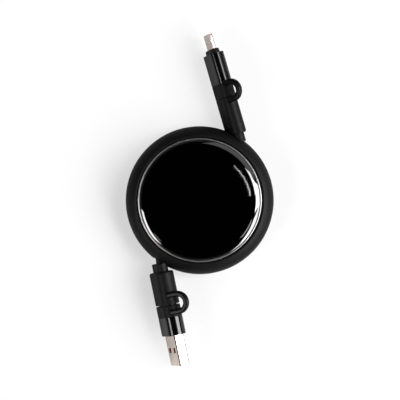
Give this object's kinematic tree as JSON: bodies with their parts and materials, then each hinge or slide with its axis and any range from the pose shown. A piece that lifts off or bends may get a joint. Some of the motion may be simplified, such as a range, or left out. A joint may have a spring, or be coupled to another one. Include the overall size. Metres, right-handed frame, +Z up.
{
  "type": "retractable charging cable",
  "caption": "Round spring-reel case with a flat cable drawn out at opposite tangents; each plug wears a tethered adapter, one to a flat tab plug, one to a metal box plug.",
  "frame": {"origin": "middle of the case's flat underside, on the surface it lies on", "axes": "+Z up through the reel's post, +Y towards the upper plug, +X to the right as seen from above"},
  "size_m": [0.066, 0.1484, 0.0188],
  "materials": {
    "case_matte": "fine matte moulded plastic",
    "dome_gloss": "polished black",
    "trim_bright": "polished",
    "adhesive": "soft pad",
    "steel": "plain",
    "reel_plastic": "as moulded",
    "cable_jacket": "matte jacket",
    "plug_matte": "fine matte",
    "tether_soft": "soft matte",
    "sleeve_gloss": "glossy black",
    "core_plastic": "as moulded",
    "plug_nickel": "warm nickel plate",
    "contact_gold": "gold plate",
    "insulator_orange": "as moulded",
    "board": "solder mask"
  },
  "bodies": {
    "case": {"case_base": "case_matte", "case_top": "case_matte", "case_screws": "steel", "dome_cap": "dome_gloss", "cap_trim": "trim_bright", "cap_adhesive": "adhesive", "ratchet_ball": "steel"},
    "reel": {"reel_drum": "reel_plastic", "reel_cover": "reel_plastic", "mainspring": "steel", "cable_coil": "cable_jacket"},
    "upper_plug": {"upper_lead": "cable_jacket", "upper_strain_relief": "plug_matte", "upper_plug_body": "plug_matte", "upper_plug_shell": "plug_nickel", "upper_plug_insert": "core_plastic", "upper_tether": "tether_soft"},
    "upper_adapter": {"upper_collar": "plug_matte", "upper_sleeve": "sleeve_gloss", "upper_core": "core_plastic", "upper_socket": "plug_nickel", "upper_socket_tongue": "core_plastic", "upper_board": "board", "flat_tab": "plug_nickel", "tab_contacts": "contact_gold"},
    "lower_plug": {"lower_lead": "cable_jacket", "lower_strain_relief": "plug_matte", "lower_plug_body": "plug_matte", "lower_plug_shell": "plug_nickel", "lower_plug_insert": "core_plastic", "lower_tether": "tether_soft"},
    "lower_adapter": {"lower_collar": "plug_matte", "lower_sleeve": "sleeve_gloss", "lower_core": "core_plastic", "lower_socket": "plug_nickel", "lower_socket_tongue": "core_plastic", "lower_board": "board", "box_shell": "plug_nickel", "box_tongue": "insulator_orange", "box_contacts": "contact_gold"}
  },
  "joints": [
    {"name": "reel_spin", "type": "hinge", "parent": "case", "child": "reel", "pos_m": [0, 0, 0.0075], "axis": [0, 0, 1], "range_deg": [0, 1555], "stiffness_Nm_per_rad": 0.0004, "springref_deg": -572.96, "deforming": ["mainspring"]},
    {"name": "upper_pull", "type": "slide", "parent": "case", "child": "upper_plug", "axis": [-0.279, 0.9603, 0], "range_m": [0, 0.4506], "deforming": ["upper_lead"]},
    {"name": "lower_pull", "type": "slide", "parent": "case", "child": "lower_plug", "axis": [0.2028, -0.9792, 0], "range_m": [0, 0.4506], "deforming": ["lower_lead"]},
    {"name": "upper_unplug", "type": "slide", "parent": "upper_plug", "child": "upper_adapter", "axis": [-0.279, 0.9603, 0], "range_m": [0, 0.0075], "deforming": ["upper_tether"]},
    {"name": "lower_unplug", "type": "slide", "parent": "lower_plug", "child": "lower_adapter", "axis": [0.2028, -0.9792, 0], "range_m": [0, 0.0075], "deforming": ["lower_tether"]}
  ],
  "couplings": [
    {"joint": "upper_pull", "follows": "reel_spin", "m_per_rad": 0.0166},
    {"joint": "lower_pull", "follows": "reel_spin", "m_per_rad": 0.0166}
  ]
}
